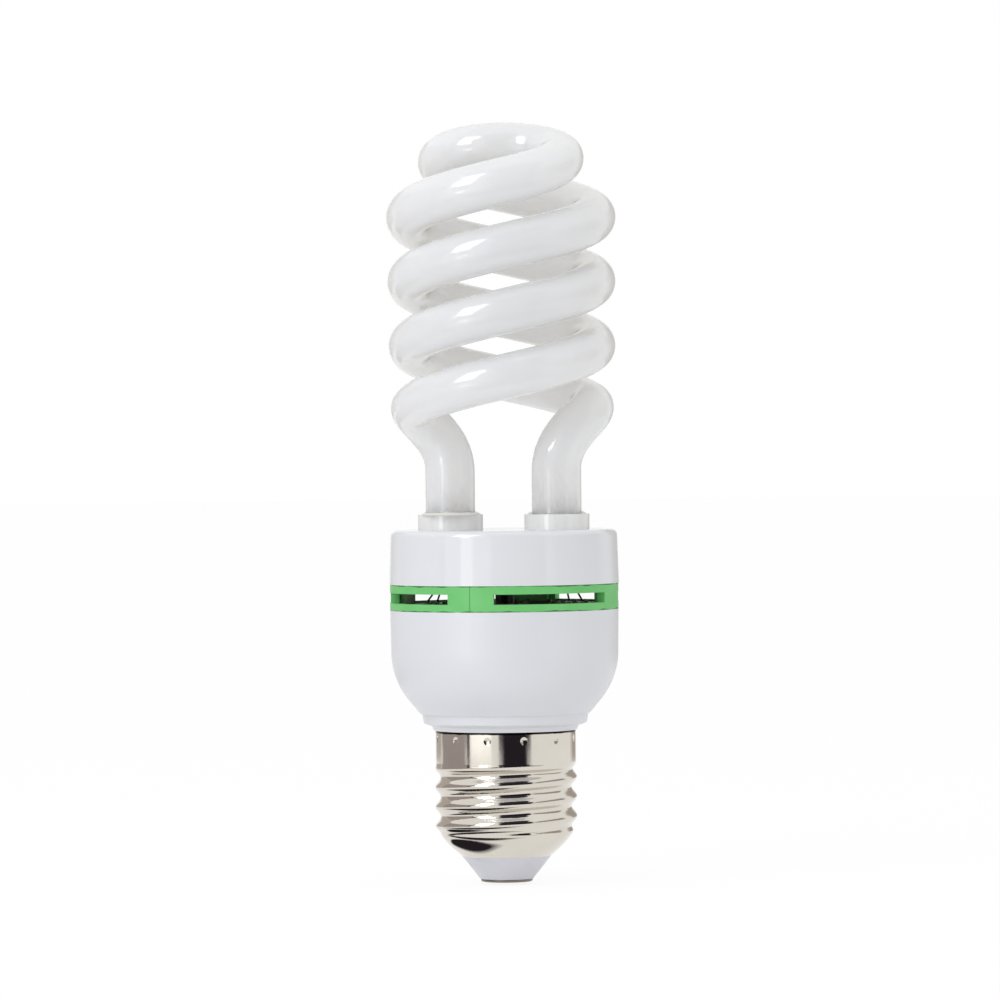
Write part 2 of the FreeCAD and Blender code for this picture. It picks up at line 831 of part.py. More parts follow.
# The bend from the left leg's straight end out to the foot of the coil
def left_bend():
    foot = Vector(*numbers((*left_leg, cover_top + size.leg_height)))
    head, head_heading = on_coil(size.coil_sweep.number)
    pull_foot = foot + Vector(0, 0, size.bend_pull_leg.number)
    pull_head = head - head_heading * size.bend_pull_coil.number

    def bend(share):
        return bend_point(share, foot, pull_foot, pull_head, head)

    path = [(foot, Vector(0, 0, 1))]
    path += [(bend(share), heading(bend, share, FINE)) for share in BEND_SHARES]
    return path + [(head, head_heading)]


# The left strand's coil, from its foot to its upper end
def left_coil():
    sweep = size.coil_sweep.number
    steps = round(sweep / COIL_STEP)
    return [on_coil(sweep * (1 - step / steps)) for step in range(steps + 1)]


# The dome, from the left strand's upper end over the apex to the right one's
def whole_dome():
    rising = [on_coil(0.0)]
    rising += [(dome_point(share), heading(dome_point, share, FINE)) for share in DOME_SHARES]
    crown = math.radians(size.coil_turn.number - TURN / 4)
    apex = (dome_point(1.0), Vector(math.cos(crown), math.sin(crown), 0))
    falling = [(Vector(-spot.x, -spot.y, spot.z), Vector(way.x, way.y, -way.z)) for spot, way in rising[::-1]]
    return rising + [apex] + falling


def half_turned(shape, turn):
    shape = shape.copy()
    shape.rotate(Vector(), Vector(0, 0, 1), turn)
    return shape


# Glass tube: two strands, each the other turned half round, joined over the apex. The legs keep the
# drawn tube's size, and the wound part is stretched thinner towards its foot.
leg_glass_radius = size.tube_radius.number
foot_glass_radius = size.coil_tube_radius.number
dome_glass_radius = size.dome_tube_radius.number
bend_glass = stretch(left_bend(), leg_glass_radius, foot_glass_radius)
coil_glass = stretch(left_coil(), foot_glass_radius, dome_glass_radius, level=True)
dome_glass = stretch(whole_dome(), dome_glass_radius, dome_glass_radius, level=True)
glass = [computed("dome_glass", dome_glass)]
for side, leg, turn in (("left", left_leg, 0.0), ("right", right_leg, TURN / 2)):
    glass += [
        cylinder(f"{side}_leg_glass", size.tube_radius, leg_straight, (*leg, leg_bottom)),
        computed(f"{side}_bend_glass", half_turned(bend_glass, turn)),
        computed(f"{side}_coil_glass", half_turned(coil_glass, turn)),
    ]
tube = keep(fused("spiral_glass_tube", glass), "spiral_glass_tube")

# Cement that seals each leg under the cover's plate
cement_bottom = plate_bottom - size.cement_depth
cement_radius = leg_bore + size.cement_wall
cement = group("tube_cement", [
    cut(f"{side}_cement",
        cylinder(f"{side}_cement_pat", cement_radius, size.cement_depth, (*leg, cement_bottom)),
        cylinder(f"{side}_cement_bore", leg_bore, size.cement_depth, (*leg, cement_bottom)))
    for side, leg in (("left", left_leg), ("right", right_leg))
])
keep(cement, "tube_cement")

# Leads, board holes and solder joints, which each part below adds to
leads = []
holes = []
joints = []


def joint_at(x, y, radius):
    index = len(joints)
    hole_radius = radius + size.fit_clearance
    holes.append(cylinder(f"hole_{index}", hole_radius, size.board_thickness, (x, y, housing_top)))
    joints.append(primitive("Cone", f"solder_{index}", (x, y, board_top), Radius1=size.solder_radius,
                            Radius2=radius, Height=size.solder_height))


# A straight lead from a part's top, at a height, up to the board's upper face
def straight_lead(spot, height):
    x, y = spot
    leads.append(cylinder(f"lead_{len(leads)}", size.lead_radius, board_top - height, (x, y, height)))
    joint_at(x, y, size.lead_radius)


def bent_wire(points, bends, radius):
    edges = []
    start = points[0]
    for before, corner, after, bend in zip(points, points[1:], points[2:], bends):
        back = unit(before - corner)
        ahead = unit(after - corner)
        half = back.getAngle(ahead) / 2
        entry = corner + back * (bend / math.tan(half))
        leave = corner + ahead * (bend / math.tan(half))
        edges.append(Part.LineSegment(start, entry).toShape())
        edges.append(tangent_arc(entry, corner, leave))
        start = leave
    edges.append(Part.LineSegment(start, points[-1]).toShape())
    section = Part.Wire(Part.makeCircle(radius, points[0], points[1] - points[0]))
    return Part.Wire(edges).makePipeShell([section], True, False)


# A lead from a standing part's foot that turns back up beside it to the board
def hairpin_lead(place_on_board, foot):
    bend = size.hairpin_radius
    low = foot - size.lead_radius - bend
    near = beside(place_on_board)
    far = beside(place_on_board, 2.0 * bend + size.hairpin_flat)
    points = [Vector(*numbers((*spot, height)))
              for spot, height in ((near, foot), (near, low), (far, low), (far, board_top))]
    bends = (bend.number, bend.number)
    leads.append(computed(f"lead_{len(leads)}", bent_wire(points, bends, size.lead_radius.number)))
    joint_at(*far, size.lead_radius)


# A part that stands under the board on one straight and one hairpin lead
def standing_part(name, place_on_board, radius, height):
    foot = hang_top - height
    straight_lead(beside(place_on_board), hang_top)
    hairpin_lead(place_on_board, foot)
    return cylinder(name, radius, height, (*beside(place_on_board), foot))


# Electrolytic capacitor, hung on its leads so that it reaches down into the neck
can_top = housing_top - size.can_drop
can = cylinder("can_blank", size.can_radius, size.can_height, (*beside(CAN_PLACE), can_top - size.can_height))
can = rounded("electrolytic_capacitor", can, size.can_round, lambda edge: edge.Closed)
for side in (-0.5, 0.5):
    straight_lead(beside(CAN_PLACE, side * size.can_lead_pitch), can_top)
keep(can, "electrolytic_capacitor")

# Choke: a two-window core, a bobbin on its round middle leg, and the winding between the flanges
choke_spot = beside(CHOKE_PLACE)
choke_turn = CHOKE_PLACE[2]
core_bottom = hang_top - size.core_height
window_height = size.core_height - 2.0 * size.core_leg
window_bottom = core_bottom + size.core_leg
core_spot = beside(CHOKE_PLACE, size.core_length * -0.5, size.core_width * -0.5)
window_spot = beside(CHOKE_PLACE, size.core_leg - size.core_length / 2, size.core_width * -0.5)
core_block = primitive("Box", "core_block", (*core_spot, core_bottom), upright(choke_turn),
                       Length=size.core_length, Width=size.core_width, Height=size.core_height)
core_window = primitive("Box", "core_window", (*window_spot, window_bottom), upright(choke_turn),
                        Length=size.core_length - 2.0 * size.core_leg, Width=size.core_width,
                        Height=window_height)
core_post = cylinder("core_post", size.core_post_radius, window_height, (*choke_spot, window_bottom))
core = fused("choke_core", [cut("core_frame", core_block, core_window), core_post])
keep(core, "choke_core")

bobbin = new_body("choke_bobbin")
bobbin_bore = size.core_post_radius + size.fit_clearance
bobbin_radius = size.core_length / 2 - size.core_leg - size.bobbin_clearance
barrel = bobbin_bore + size.bobbin_wall
bobbin_low = window_bottom + size.fit_clearance
bobbin_high = window_bottom + window_height - size.fit_clearance
revolve(bobbin, "bobbin_spool", (
    (bobbin_bore, bobbin_low),
    (bobbin_radius, bobbin_low),
    (bobbin_radius, bobbin_low + size.bobbin_flange),
    (barrel, bobbin_low + size.bobbin_flange),
    (barrel, bobbin_high - size.bobbin_flange),
    (bobbin_radius, bobbin_high - size.bobbin_flange),
    (bobbin_radius, bobbin_high),
    (bobbin_bore, bobbin_high),
))
place(bobbin, (*choke_spot, 0.0))
keep(bobbin, "choke_bobbin")
for side in (-1, 1):
    straight_lead(beside(CHOKE_PLACE, 0.0, side * (bobbin_radius - size.bobbin_pin_inset)), bobbin_high)

winding = new_body("choke_winding")
winding_bore = barrel + size.fit_clearance
winding_radius = bobbin_radius - size.winding_margin
revolve(winding, "winding_coil", (
    (winding_bore, bobbin_low + size.bobbin_flange + size.fit_clearance),
    (winding_radius, bobbin_low + size.bobbin_flange + size.fit_clearance),
    (winding_radius, bobbin_high - size.bobbin_flange - size.fit_clearance),
    (winding_bore, bobbin_high - size.bobbin_flange - size.fit_clearance),
))
place(winding, (*choke_spot, 0.0))
keep(winding, "choke_winding")

# Feedback transformer: a ring core with three short windings, each with two leads
toroid_x, toroid_y = beside(TOROID_PLACE)
toroid_top = hang_top - 2.0 * size.toroid_wire - size.fit_clearance
toroid_bottom = toroid_top - size.toroid_height
toroid_spot = (toroid_x, toroid_y, toroid_bottom)
toroid = cut("feedback_toroid", cylinder("toroid_blank", size.toroid_radius, size.toroid_height, toroid_spot),
             cylinder("toroid_hole", size.toroid_bore, size.toroid_height, toroid_spot))
keep(toroid, "feedback_toroid")


# One turn of wire round the ring core's section, as a square loop with rounded corners
def toroid_turn_shape(angle):
    wire = size.toroid_wire.number
    gap = size.fit_clearance.number
    inner = size.toroid_bore.number - gap - wire
    outer = size.toroid_radius.number + gap + wire
    low = toroid_bottom.number - gap - wire
    high = toroid_top.number + gap + wire
    middle = (inner + outer) / 2
    points = [Vector(middle, 0, low), Vector(outer, 0, low), Vector(outer, 0, high), Vector(inner, 0, high),
              Vector(inner, 0, low), Vector(middle, 0, low)]
    bends = (2 * wire, 2 * wire, 2 * wire, 2 * wire)
    loop = bent_wire(points, bends, wire)
    loop.Placement = Placement(Vector(*numbers((toroid_x, toroid_y, 0))), upright(angle))
    return loop


turns = []
for winding_angle in WINDING_ANGLES:
    for step in (-1, 0, 1):
        shape = toroid_turn_shape(winding_angle + WINDING_STEP * step)
        turns.append(computed(f"toroid_turn_{len(turns)}", shape))
    for step in (-1, 1):
        angle = math.radians(winding_angle + WINDING_STEP * step)
        reach = size.toroid_radius + size.fit_clearance + size.toroid_wire
        spot = (toroid_x + reach * math.cos(angle), toroid_y + reach * math.sin(angle))
        straight_lead(spot, toroid_top + size.fit_clearance + 2.0 * size.toroid_wire)
keep(group("toroid_windings", turns), "toroid_windings")

# Two power transistors with a flat side, on three leads each
bodies = []
for index, spot in enumerate(TRANSISTOR_PLACES):
    top = housing_top - size.transistor_drop
    foot = top - size.transistor_height
    blank = cylinder(f"transistor_blank_{index}", size.transistor_radius, size.transistor_height,
                     (*beside(spot), foot))
    corner = beside(spot, size.transistor_radius * -1.0, size.transistor_flat)
    flat = primitive("Box", f"transistor_side_{index}", (*corner, foot), upright(spot[2]),
                     Length=2.0 * size.transistor_radius, Width=size.transistor_radius,
                     Height=size.transistor_height)
    bodies.append(cut(f"transistor_{index}", blank, flat))
    for step in (-1, 0, 1):
        straight_lead(beside(spot, step * size.transistor_lead_pitch), top)
keep(group("power_transistors", bodies), "power_transistors")

# Rectifier diodes, trigger diode and resistors, all standing on end
diodes = [standing_part(f"diode_{index}", spot, size.diode_radius, size.diode_height)
          for index, spot in enumerate(DIODE_PLACES)]
keep(group("rectifier_diodes", diodes), "rectifier_diodes")
keep(standing_part("trigger_diode", TRIGGER_PLACE, size.trigger_radius, size.trigger_height), "trigger_diode")

resistors = []
for index, spot in enumerate(RESISTOR_PLACES):
    middle = standing_part(f"resistor_rod_{index}", spot, size.resistor_radius, size.resistor_height)
    caps = [cylinder(f"resistor_{end}_{index}", size.resistor_cap_radius, size.resistor_cap_height,
                     (*beside(spot), height))
            for end, height in (("foot", hang_top - size.resistor_height),
                                ("head", hang_top - size.resistor_cap_height))]
    resistors.append(fused(f"resistor_{index}", [middle, *caps]))
keep(group("resistors", resistors), "resistors")

# Film capacitors: dipped blocks on two leads
films = []
for index, spot in enumerate(FILM_PLACES):
    corner = beside(spot, size.film_length * -0.5, size.film_width * -0.5)
    block = primitive("Box", f"film_block_{index}", (*corner, hang_top - size.film_height), upright(spot[2]),
                      Length=size.film_length, Width=size.film_width, Height=size.film_height)
    films.append(rounded(f"film_{index}", block, size.film_round, lambda edge: True))
    for side in (-0.5, 0.5):
        straight_lead(beside(spot, side * size.film_lead_pitch), hang_top)
keep(group("film_capacitors", films), "film_capacitors")

# Ceramic capacitor: a disc on edge
disc_spot = (*beside(DISC_PLACE, 0.0, size.disc_thickness / 2.0), hang_top - size.disc_radius)
disc = cylinder("ceramic_disc", size.disc_radius, size.disc_thickness, disc_spot,
                Rotation(Vector(1, 0, 0), 90))
disc = rounded("ceramic_capacitor", disc, size.disc_round, lambda edge: edge.Closed)
disc_inside = size.disc_lead_pitch / 2.0 - size.lead_radius
disc_drop = size.disc_radius - root(size.disc_radius * size.disc_radius - disc_inside * disc_inside)
for side in (-0.5, 0.5):
    straight_lead(beside(DISC_PLACE, side * size.disc_lead_pitch), hang_top - disc_drop)
keep(disc, "ceramic_capacitor")

# Filter inductor: a ferrite spool
spool = new_body("filter_inductor")
spool_low = hang_top - size.filter_height
revolve(spool, "filter_spool", (
    (0.0, spool_low),
    (size.filter_radius, spool_low),
    (size.filter_radius, spool_low + size.filter_flange),
    (size.filter_waist, spool_low + size.filter_flange),
    (size.filter_waist, hang_top - size.filter_flange),
    (size.filter_radius, hang_top - size.filter_flange),
    (size.filter_radius, hang_top),
    (0.0, hang_top),
))
place(spool, (*beside(FILTER_PLACE), 0.0))
for side in (-0.5, 0.5):
    straight_lead(beside(FILTER_PLACE, side * size.filter_lead_pitch), hang_top)
keep(spool, "filter_inductor")

# Preheat thermistor, the one part on the board's upper side, seen through the slots
thermistor_bottom = board_top + size.seat_gap
thermistor = cylinder("preheat_thermistor", size.thermistor_radius, size.thermistor_height,
                      (*beside(THERMISTOR_PLACE), thermistor_bottom))
keep(thermistor, "preheat_thermistor")
for side in (-0.5, 0.5):
    x, y = beside(THERMISTOR_PLACE, side * size.thermistor_lead_pitch)
    leads.append(cylinder(f"lead_{len(leads)}", size.lead_radius, size.board_thickness + size.seat_gap,
                          (x, y, housing_top)))
    holes.append(cylinder(f"hole_top_{len(holes)}", size.lead_radius + size.fit_clearance,
                          size.board_thickness, (x, y, housing_top)))

# Fuse resistor in the neck, on the live wire between the centre contact and the board
fuse_top = housing_top - size.fuse_drop
fuse_bottom = fuse_top - size.fuse_height
wire_spread = smaller(board_spread, neck_bore / PLACED_NECK)
fuse_spot = [wire_spread * value for value in FUSE_PLACE]
neutral_spot = [wire_spread * value for value in NEUTRAL_PLACE]
keep(cylinder("fuse_resistor", size.fuse_radius, size.fuse_height, (*fuse_spot, fuse_bottom)), "fuse_resistor")


def supply_wires():
    radius = size.supply_wire_radius.number
    bend = size.supply_wire_bend.number
    straight = size.supply_wire_straight.number
    fuse = Vector(*numbers((*fuse_spot, 0)))
    up = Vector(0, 0, 1)
    live_low = bent_wire([
        up * (shank_top.number - size.shank_length.number / 2),
        up * (shank_top.number + straight),
        fuse + up * (fuse_bottom.number - straight),
        fuse + up * fuse_bottom.number,
    ], (bend, bend), radius)
    live_high = Part.makeCylinder(radius, board_top.number - fuse_top.number, fuse + up * fuse_top.number)
    neutral = Vector(*numbers((*neutral_spot, 0)))
    clamp = neck_bottom.number - size.clamp_drop.number
    reach = size.skirt_radius.number - size.shell_wall.number - size.thread_depth.number
    neutral_wire = bent_wire([
        neutral + up * board_top.number,
        neutral + up * clamp,
        unit(neutral) * reach + up * clamp,
    ], (size.clamp_bend.number,), radius)
    return Part.makeCompound([live_low, live_high, neutral_wire])


keep(computed("supply_wires", supply_wires()), "supply_wires")
joint_at(*fuse_spot, size.supply_wire_radius)
joint_at(*neutral_spot, size.supply_wire_radius)

# Filament leads, straight down from the tube's ends to their joints on the board
filament_joint = board_top + size.solder_height + size.filament_lead_radius
filament_top = leg_bottom - size.filament_lead_radius
filaments = []
for leg, pair in zip((left_leg, right_leg), FILAMENT_LEADS):
    for shift, board_place in pair:
        lower = (*beside(board_place), filament_joint)
        upper = (leg[0] + shift[0], leg[1] + shift[1], filament_top)
        run = Vector(*numbers(upper)) - Vector(*numbers(lower))
        filaments.append(cylinder(f"filament_lead_{len(filaments)}", size.filament_lead_radius, run.Length,
                                  lower, Rotation(Vector(0, 0, 1), run)))
        joint_at(*lower[:2], size.filament_lead_radius)
keep(group("filament_lead_wires", filaments), "filament_lead_wires")

# Circuit board: a disc on the housing's ribs, notched for the snap tongues
board = cylinder("board_disc", board_radius, size.board_thickness, (0.0, 0.0, housing_top))
notch_reach = tongue_bore - size.board_clearance
notch_angle = size.tongue_angle + size.tongue_play_angle
notches = []
for index in range(SLOT_COUNT):
    turn = FRONT - size.ring_turn.number + TURN / SLOT_COUNT * index
    notch = cut(f"notch_{index}",
                primitive("Cylinder", f"notch_outer_{index}", (0.0, 0.0, housing_top),
                          upright(turn - notch_angle.number / 2), Radius=size.housing_radius,
                          Height=size.board_thickness, Angle=notch_angle),
                cylinder(f"notch_inner_{index}", notch_reach, size.board_thickness, (0.0, 0.0, housing_top)))
    notches.append(notch)
keep(cut("circuit_board", board, fused("board_cuts", holes + notches)), "circuit_board")
keep(group("solder_joints", joints), "solder_joints")
keep(group("component_leads", leads), "component_leads")

# Every feature and piece has to be sound before anything is written
doc.recompute()
for item in doc.Objects:
    if "Invalid" in item.State or "Error" in item.State:
        raise ValueError(f"{item.Name} failed: {item.State}")
os.makedirs("parts", exist_ok=True)
for item in nodes:
    if item.Shape.isNull() or not item.Shape.isValid() or not item.Shape.Solids:
        raise ValueError(f"{item.Label} has no sound solid")
    item.Shape.exportStep(f"parts/{item.Label}.step")
    print(item.Label, len(item.Shape.Solids), round(item.Shape.Volume, 2))
print("glass pieces", round(sum(item.Shape.Volume for item in glass), 2))
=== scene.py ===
import math

import bmesh
import bpy
from mathutils import Matrix, Vector


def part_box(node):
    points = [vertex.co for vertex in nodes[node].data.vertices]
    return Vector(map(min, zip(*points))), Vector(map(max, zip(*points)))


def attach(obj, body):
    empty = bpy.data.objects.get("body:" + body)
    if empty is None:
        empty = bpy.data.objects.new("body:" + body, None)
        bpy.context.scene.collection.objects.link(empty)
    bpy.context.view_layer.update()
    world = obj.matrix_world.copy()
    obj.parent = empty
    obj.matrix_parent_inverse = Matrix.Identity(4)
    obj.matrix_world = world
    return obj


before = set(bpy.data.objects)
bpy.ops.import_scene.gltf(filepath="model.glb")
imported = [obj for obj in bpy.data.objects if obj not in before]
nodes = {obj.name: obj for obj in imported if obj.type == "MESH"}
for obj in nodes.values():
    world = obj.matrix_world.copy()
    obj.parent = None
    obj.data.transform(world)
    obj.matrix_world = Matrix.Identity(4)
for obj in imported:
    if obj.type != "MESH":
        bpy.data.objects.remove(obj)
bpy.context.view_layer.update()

print("bulb loaded:", len(nodes), "pieces")


def linearColour(hexText):
    values = [int(hexText[i:i + 2], 16) / 255 for i in (1, 3, 5)]
    return (*[v / 12.92 if v <= 0.04045 else ((v + 0.055) / 1.055) ** 2.4 for v in values], 1.0)


def addNode(tree, kind, values=None, links=None, **settings):
    node = tree.nodes.new("ShaderNode" + kind)
    for name, setting in settings.items():
        setattr(node, name, setting)
    for socket, value in (values or {}).items():
        node.inputs[socket].default_value = linearColour(value) if isinstance(value, str) else value
    for socket, source in (links or {}).items():
        tree.links.new(source, node.inputs[socket])
    return node


def newMaterial(name):
    material = bpy.data.materials.new(name)
    material.use_nodes = True
    material.node_tree.nodes.clear()
    tree = material.node_tree
    place = addNode(tree, "TexCoord").outputs["Object"]
    return material, tree, place


# Closes a surface: tones by one factor, roughness by another, relief by a height in parts of reliefMm.
def closeSurface(tree, look, tone, wear, height):
    colour = addNode(tree, "Mix", {"A": look["colour"], "B": look["shade"]}, {"Factor": tone},
                     data_type="RGBA")
    low, high = look["roughness"]
    rough = addNode(tree, "MapRange", {"To Min": low, "To Max": high}, {"Value": wear})
    bump = addNode(tree, "Bump", {"Strength": 1.0, "Distance": look["reliefMm"] / 1000}, {"Height": height})
    shader = addNode(tree, "BsdfPrincipled", look["shader"], {
        "Base Color": colour.outputs["Result"],
        "Roughness": rough.outputs["Result"],
        "Normal": bump.outputs["Normal"],
    })
    addNode(tree, "OutputMaterial", links={"Surface": shader.outputs["BSDF"]})


# Most finishes: blotches of tone, wandering gloss and a grain, each at its own size in millimetres.
def layFinish(name, look):
    material, tree, place = newMaterial(name)
    blotch = addNode(tree, "TexNoise", {"Scale": 1000 / look["patchMm"], "Detail": 3.0}, {"Vector": place})
    gloss = addNode(tree, "TexNoise", {"Scale": 1000 / look["glossMm"], "Detail": 4.0}, {"Vector": place})
    grain = addNode(tree, "TexNoise", {"Scale": 1000 / look["grainMm"], "Detail": 2.0}, {"Vector": place})
    closeSurface(tree, look, blotch.outputs["Fac"], gloss.outputs["Fac"], grain.outputs["Fac"])
    return material


def dress(nodeName, material):
    piece = nodes[nodeName]
    if not piece.material_slots:
        piece.data.materials.append(material)
    for slot in piece.material_slots:
        slot.material = material


# Camera: level with the lowest turn of the coil, 1.2 m in front of the bulb's axis, with a long lens
cameraSet = {
    "distance": 1.200,
    "height": 0.085,
    "lens": 233.28,
    "sensor": 36,
    "sees": (0.01, 50),  # from and up to these distances
    "roll": -0.55,  # degrees, as the next two
    "tiltUp": -0.686,
    "turnLeft": 0.023,
}
cameraData = bpy.data.cameras.new("camera")
cameraData.lens = cameraSet["lens"]
cameraData.sensor_width = cameraSet["sensor"]
cameraData.clip_start, cameraData.clip_end = cameraSet["sees"]
camera = bpy.data.objects.new("camera", cameraData)
bpy.context.scene.collection.objects.link(camera)
camera.matrix_world = (
    Matrix.Translation((0, -cameraSet["distance"], cameraSet["height"]))
    @ Matrix.Rotation(math.radians(90), 4, "X")
    @ Matrix.Rotation(math.radians(cameraSet["roll"]), 4, "Z")
    @ Matrix.Rotation(math.radians(cameraSet["tiltUp"]), 4, "X")
    @ Matrix.Rotation(math.radians(cameraSet["turnLeft"]), 4, "Y")
)
bpy.context.scene.camera = camera
print("camera set")

# Glass tube: soda lime glass, drawn and wound hot, with a white powder coating inside.
# The eye sees a soft milky white under a hard clear gloss, with painted shade, a grey towards the outline
# for the clear wall seen edge on, and a pinkish cloud at the cut ends where the powder was wiped thin.
tubeLook = {
    "colour": "#F5F4F3",
    "shade": "#F0EFEC",
    "thin": "#D3CCC8",  # where the powder is thin
    "wall": "#C6C6BE",  # painted shade towards the outline, for the clear wall seen edge on
    "patchMm": 14,
    "cloudMm": 5,
    "rippleMm": 11,
    "reliefMm": 0.03,
    "roughness": (0.5, 0.6),
    "thinBetween": (0.065, 0.081),  # heights over which the powder closes up
    "cloudBetween": (0.42, 0.68),  # the part of the cloud's noise that shows
    "cloudLean": 0.35,
    "cloudStretch": 0.3,
    "edgeBetween": (0.6, 1.0),  # how edge on the wall is, 1 at the outline
    "shader": {
        "IOR": 1.5,
        "Specular IOR Level": 0.0,
        "Subsurface Weight": 1.0,
        "Subsurface Radius": (0.028, 0.026, 0.022),
        "Subsurface Scale": 1.0,
        "Coat Weight": 1.0,
        "Coat Roughness": 0.02,
        "Coat IOR": 1.52,
    },
}


def coatedGlass(look):
    material, tree, place = newMaterial("blown glass, powder coated inside")
    swirlShape = {"Scale": 1000 / look["patchMm"], "Detail": 4.0, "Distortion": 1.2}
    swirl = addNode(tree, "TexNoise", swirlShape, {"Vector": place})
    ripple = addNode(tree, "TexNoise", {"Scale": 1000 / look["rippleMm"], "Detail": 1.0}, {"Vector": place})
    lean = {"Rotation": (0.0, look["cloudLean"], 0.0), "Scale": (1.0, 1.0, look["cloudStretch"])}
    slanted = addNode(tree, "Mapping", lean, {"Vector": place})
    cloudShape = {"Scale": 1000 / look["cloudMm"], "Detail": 5.0, "Roughness": 0.6, "Distortion": 0.6}
    cloud = addNode(tree, "TexNoise", cloudShape, {"Vector": slanted.outputs["Vector"]})
    up = addNode(tree, "SeparateXYZ", links={"Vector": place})
    low, high = look["thinBetween"]
    foot = addNode(tree, "MapRange", {"From Min": high, "From Max": low}, {"Value": up.outputs["Z"]})
    low, high = look["cloudBetween"]
    patch = addNode(tree, "MapRange", {"From Min": low, "From Max": high}, {"Value": cloud.outputs["Fac"]})
    thin = addNode(tree, "Math", links={0: foot.outputs["Result"], 1: patch.outputs["Result"]},
                   operation="MULTIPLY")
    base = addNode(tree, "Mix", {"A": look["colour"], "B": look["shade"]}, {"Factor": swirl.outputs["Fac"]},
                   data_type="RGBA")
    clouded = addNode(tree, "Mix", {"B": look["thin"]},
                      {"Factor": thin.outputs["Value"], "A": base.outputs["Result"]}, data_type="RGBA")
    # Painted shade: the tone turns to the wall's grey the more edge on the surface is seen
    facing = addNode(tree, "LayerWeight", {"Blend": 0.5}).outputs["Facing"]
    low, high = look["edgeBetween"]
    edge = addNode(tree, "MapRange", {"From Min": low, "From Max": high}, {"Value": facing})
    tone = addNode(tree, "Mix", {"B": look["wall"]},
                   {"Factor": edge.outputs["Result"], "A": clouded.outputs["Result"]}, data_type="RGBA")
    low, high = look["roughness"]
    rough = addNode(tree, "MapRange", {"To Min": low, "To Max": high}, {"Value": swirl.outputs["Fac"]})
    bump = addNode(tree, "Bump", {"Strength": 1.0, "Distance": look["reliefMm"] / 1000},
                   {"Height": ripple.outputs["Fac"]})
    shader = addNode(tree, "BsdfPrincipled", look["shader"], {
        "Base Color": tone.outputs["Result"],
        "Roughness": rough.outputs["Result"],
        "Normal": bump.outputs["Normal"],
        "Coat Normal": bump.outputs["Normal"],
    })
    addNode(tree, "OutputMaterial", links={"Surface": shader.outputs["BSDF"]})
    return material


dress("spiral_glass_tube", coatedGlass(tubeLook))

# Beads of silicone where the legs enter the collars: run in by hand, so the height and width wander.
# The eye sees a cream white, half glossy rope, a little rubbery. Both are centred on the bulb's cross line,
# while the left leg stands 2 mm behind it and the right leg 2 mm before it.
beadSet = {
    "legMm": 4.6,  # radius of a leg
    "spreadMm": 9.85,  # sideways from the bulb's axis
    "widthMm": 0.9,
    "heightMm": 0.45,
    "sinkMm": 0.05,  # how far the foot reaches into the collar
    "wander": 0.16,  # share of the size by which it wanders
    "waves": ((3, 1, 1.0), (7, 2, 0.6), (13, 0, 0.4)),  # times round, share of the turn, and size
    "profile": ((0, 1), (0.3, 0.86), (0.65, 0.5), (1, 0)),  # from the leg out, in shares of width and height
    "steps": 96,
    "sides": {"left_leg_bead": (-1, 0.4), "right_leg_bead": (1, 2.1)},  # side and turn
    "look": {
        "colour": "#F3F2EC", "shade": "#E6E4DB", "patchMm": 1.5, "glossMm": 1.0, "grainMm": 0.5,
        "reliefMm": 0.05, "roughness": (0.35, 0.5), "shader": {"IOR": 1.43}},
}


def siliconeBead(name, centreX, turn, look):
    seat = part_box("tube_holder_cover")[1][2]
    mesh = bmesh.new()
    rings = []
    for i in range(look["steps"]):
        angle = 2 * math.pi * i / look["steps"]
        wander = sum(size * math.sin(times * angle + share * turn) for times, share, size in look["waves"])
        grow = 1 + look["wander"] * wander
        wide = look["widthMm"] * grow
        high = look["heightMm"] * grow
        profile = [(out * wide, up * high) for out, up in look["profile"]]
        profile += [(wide, -look["sinkMm"]), (0, -look["sinkMm"])]
        rings.append([mesh.verts.new((
            centreX + (look["legMm"] + out) / 1000 * math.cos(angle),
            (look["legMm"] + out) / 1000 * math.sin(angle),
            seat + up / 1000)) for out, up in profile])
    for ring, following in zip(rings, rings[1:] + rings[:1]):
        for j in range(len(ring)):
            k = (j + 1) % len(ring)
            mesh.faces.new((ring[j], following[j], following[k], ring[k]))
    bmesh.ops.recalc_face_normals(mesh, faces=mesh.faces)
    data = bpy.data.meshes.new(name)
    mesh.to_mesh(data)
    mesh.free()
    for face in data.polygons:
        face.use_smooth = True
    piece = bpy.data.objects.new(name, data)
    bpy.context.scene.collection.objects.link(piece)
    return piece


silicone = layFinish("silicone sealant, run in by hand", beadSet["look"])
for beadName, (side, turn) in beadSet["sides"].items():
    bead = siliconeBead(beadName, side * beadSet["spreadMm"] / 1000, turn, beadSet)
    bead.data.materials.append(silicone)
    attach(bead, "root")
print("glass tube dressed")


